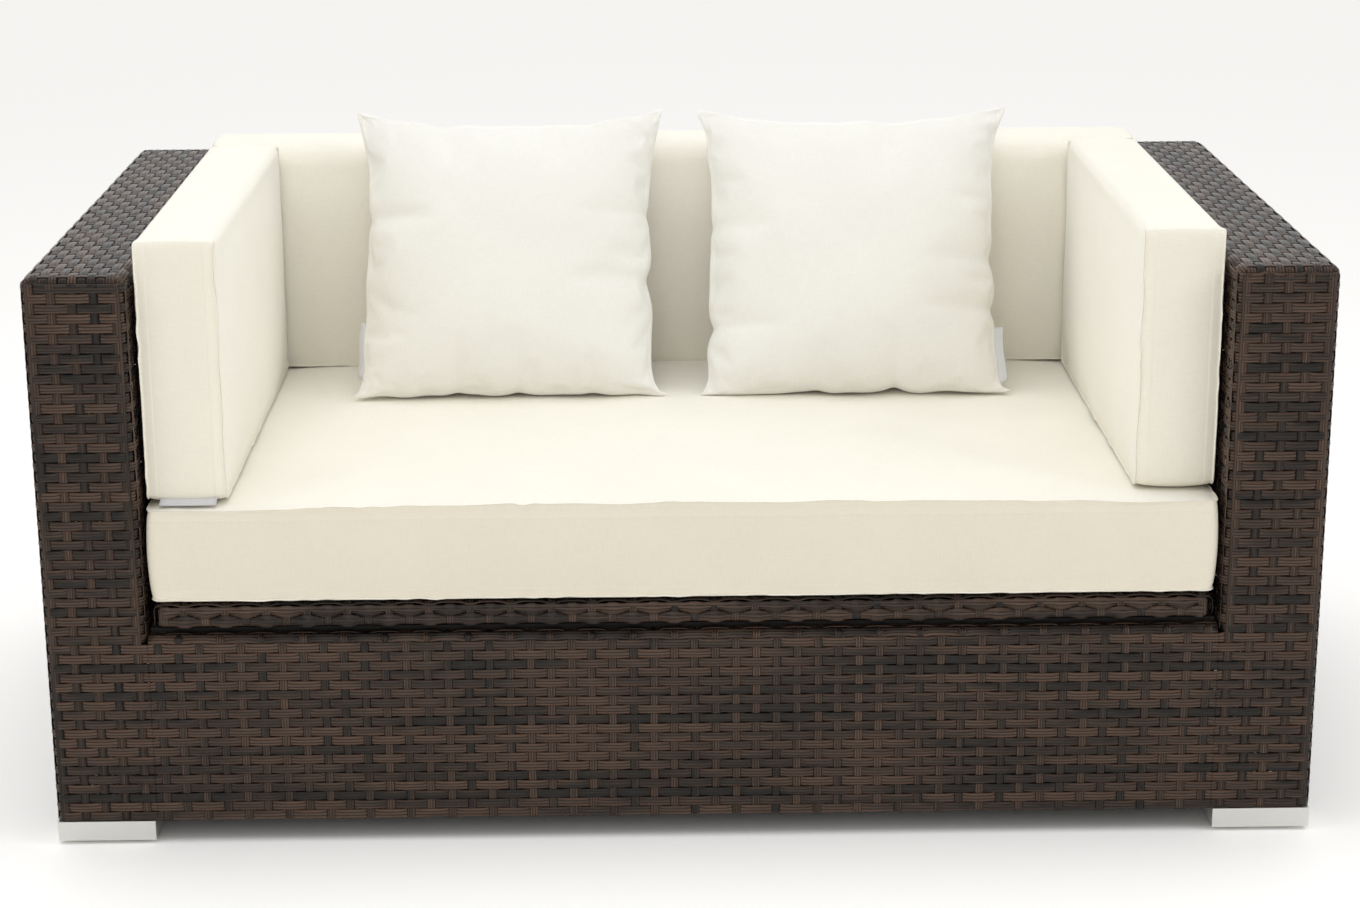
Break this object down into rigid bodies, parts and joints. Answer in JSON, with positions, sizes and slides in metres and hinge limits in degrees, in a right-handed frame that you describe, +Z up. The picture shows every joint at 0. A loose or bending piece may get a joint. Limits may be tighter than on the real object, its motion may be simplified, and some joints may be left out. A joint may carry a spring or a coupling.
{
  "type": "woven garden sofa",
  "caption": "Two-seat woven resin garden sofa on an aluminium frame, with a lift-up slatted seat lid over a cushion box, loose boxed cushions and scatter pillows.",
  "frame": {"origin": "middle of the footprint, on the floor", "axes": "+X along the sofa's length, to the right as seen from the front, -Y towards the front, +Z up"},
  "size_m": [1.55, 0.855, 0.8015],
  "materials": {
    "weave": "satin",
    "frame_paint": "satin",
    "tray_plastic": "matte",
    "foot_metal": "satin",
    "glide_plastic": "matte",
    "bumper_rubber": "matte",
    "zinc": "satin",
    "cushion_cloth": "matte",
    "pillow_cloth": "matte"
  },
  "bodies": {
    "frame": {"left_arm_skin": "weave", "left_arm_frame": "frame_paint", "left_back_bolt_1": "zinc", "left_back_bolt_2": "zinc", "left_seat_bolt_1": "zinc", "left_seat_bolt_2": "zinc", "left_floor_bolt_1": "zinc", "left_floor_bolt_2": "zinc", "left_front_foot": "foot_metal", "left_front_glide": "glide_plastic", "left_rear_foot": "foot_metal", "left_rear_glide": "glide_plastic", "right_arm_skin": "weave", "right_arm_frame": "frame_paint", "right_back_bolt_1": "zinc", "right_back_bolt_2": "zinc", "right_seat_bolt_1": "zinc", "right_seat_bolt_2": "zinc", "right_floor_bolt_1": "zinc", "right_floor_bolt_2": "zinc", "right_front_foot": "foot_metal", "right_front_glide": "glide_plastic", "right_rear_foot": "foot_metal", "right_rear_glide": "glide_plastic", "back_skin": "weave", "back_frame": "frame_paint", "front_panel_skin": "weave", "front_panel_frame": "frame_paint", "seat_frame": "frame_paint", "floor_frame": "frame_paint", "storage_tray": "tray_plastic", "hinge_1_fixed_leaf": "zinc", "hinge_2_fixed_leaf": "zinc", "hinge_3_fixed_leaf": "zinc", "hinge_1_pin": "zinc", "hinge_2_pin": "zinc", "hinge_3_pin": "zinc", "left_stay_frame_bracket": "zinc", "right_stay_frame_bracket": "zinc", "left_lid_bumper": "bumper_rubber", "right_lid_bumper": "bumper_rubber"},
    "lid": {"lid_skin": "weave", "lid_frame": "frame_paint", "hinge_1_moving_leaf": "zinc", "hinge_2_moving_leaf": "zinc", "hinge_3_moving_leaf": "zinc", "left_stay_lid_bracket": "zinc", "right_stay_lid_bracket": "zinc"},
    "left_stay": {"left_lid_stay": "zinc"},
    "right_stay": {"right_lid_stay": "zinc"},
    "seat_cushion": {"seat_cushion": "cushion_cloth"},
    "back_cushion": {"back_cushion": "cushion_cloth"},
    "left_side_cushion": {"left_side_cushion": "cushion_cloth"},
    "right_side_cushion": {"right_side_cushion": "cushion_cloth"},
    "left_pillow": {"left_pillow": "pillow_cloth"},
    "right_pillow": {"right_pillow": "pillow_cloth"}
  },
  "joints": [
    {"name": "lid_hinge", "type": "hinge", "parent": "frame", "child": "lid", "pos_m": [0, 0.312, 0.2765], "axis": [-1, 0, 0], "range_deg": [0, 75]},
    {"name": "left_stay_pivot", "type": "hinge", "parent": "lid", "child": "left_stay", "pos_m": [-0.5999, 0.1926, 0.2645], "axis": [1, 0, 0], "range_deg": [0, 38]},
    {"name": "right_stay_pivot", "type": "hinge", "parent": "lid", "child": "right_stay", "pos_m": [0.5999, 0.1926, 0.2645], "axis": [1, 0, 0], "range_deg": [0, 38]},
    {"name": "seat_cushion_lift", "type": "slide", "parent": "frame", "child": "seat_cushion", "axis": [0, 0, 1], "range_m": [0, 1.06]},
    {"name": "back_cushion_lift", "type": "slide", "parent": "seat_cushion", "child": "back_cushion", "axis": [0, 0, 1], "range_m": [0, 0.36]},
    {"name": "left_side_cushion_lift", "type": "slide", "parent": "seat_cushion", "child": "left_side_cushion", "axis": [0, 0, 1], "range_m": [0, 0.36]},
    {"name": "right_side_cushion_lift", "type": "slide", "parent": "seat_cushion", "child": "right_side_cushion", "axis": [0, 0, 1], "range_m": [0, 0.36]},
    {"name": "left_pillow_lift", "type": "slide", "parent": "seat_cushion", "child": "left_pillow", "axis": [0, 0, 1], "range_m": [0, 0.42]},
    {"name": "right_pillow_lift", "type": "slide", "parent": "seat_cushion", "child": "right_pillow", "axis": [0, 0, 1], "range_m": [0, 0.42]}
  ],
  "couplings": [
    {"joint": "left_stay_pivot", "follows": "lid_hinge", "ratio": 0.5},
    {"joint": "right_stay_pivot", "follows": "lid_hinge", "ratio": 0.5},
    {"joint": "seat_cushion_lift", "follows": "lid_hinge", "m_per_rad": 0.8}
  ]
}
